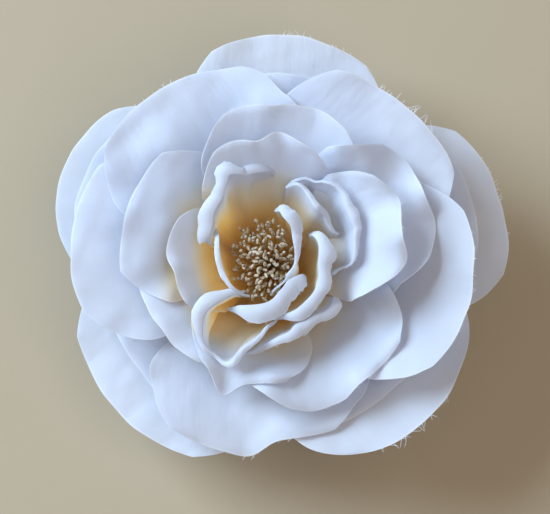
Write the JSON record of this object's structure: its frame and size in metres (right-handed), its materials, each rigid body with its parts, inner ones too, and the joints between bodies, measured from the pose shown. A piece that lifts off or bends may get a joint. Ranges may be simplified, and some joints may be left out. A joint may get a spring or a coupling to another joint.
{
  "type": "flower hair clip",
  "caption": "Large open white fabric flower with a stamen centre, backed with a felt disc on a sprung toothed alligator hair clip.",
  "frame": {"origin": "under the flower's axis, on the flat underside of the clip's lower lever, which is what it rests on", "axes": "+Z along the flower's axis, out of its face; +X along the clip from the pin to the jaw's tip; +Y along the hinge pin"},
  "size_m": [0.1211, 0.117, 0.049],
  "materials": {
    "petal_fabric": "fine plain-weave petal cloth, satin, slightly translucent",
    "stamens": "matte stiffened threads with beige tips",
    "thread": "matte cotton thread",
    "plastic": "moulded, matte",
    "felt": "matte wool felt",
    "clip_steel": "nickel plated, satin",
    "spring_steel": "drawn wire, satin"
  },
  "bodies": {
    "flower": {"clip_upper_arm": "clip_steel", "hinge_pin": "clip_steel", "torsion_spring": "spring_steel", "felt_disc": "felt", "centre_post": "plastic", "stamen_bundle": "stamens", "stamen_tie": "thread", "round1_petal_1": "petal_fabric", "round1_petal_2": "petal_fabric", "round1_petal_3": "petal_fabric", "round1_petal_4": "petal_fabric", "round1_petal_5": "petal_fabric", "round2_petal_1": "petal_fabric", "round2_petal_2": "petal_fabric", "round2_petal_3": "petal_fabric", "round2_petal_4": "petal_fabric", "round2_petal_5": "petal_fabric", "round3_petal_1": "petal_fabric", "round3_petal_2": "petal_fabric", "round3_petal_3": "petal_fabric", "round3_petal_4": "petal_fabric", "round3_petal_5": "petal_fabric", "round4_petal_1": "petal_fabric", "round4_petal_2": "petal_fabric", "round4_petal_3": "petal_fabric", "round4_petal_4": "petal_fabric", "round4_petal_5": "petal_fabric", "round5_petal_1": "petal_fabric", "round5_petal_2": "petal_fabric", "round5_petal_3": "petal_fabric", "round5_petal_4": "petal_fabric", "round6_petal_1": "petal_fabric", "round6_petal_2": "petal_fabric", "round6_petal_3": "petal_fabric", "round6_petal_4": "petal_fabric", "round7_petal_1": "petal_fabric", "round7_petal_2": "petal_fabric", "round7_petal_3": "petal_fabric", "round7_petal_4": "petal_fabric", "round7_petal_5": "petal_fabric"},
    "lower_jaw": {"clip_lower_jaw": "clip_steel", "torsion_spring_leg": "spring_steel"}
  },
  "joints": [
    {"name": "jaw_hinge", "type": "hinge", "parent": "flower", "child": "lower_jaw", "pos_m": [-0.007, 0, 0.0046], "axis": [0, 1, 0], "range_deg": [0, 24], "stiffness_Nm_per_rad": 0.2, "springref_deg": -28.65}
  ]
}
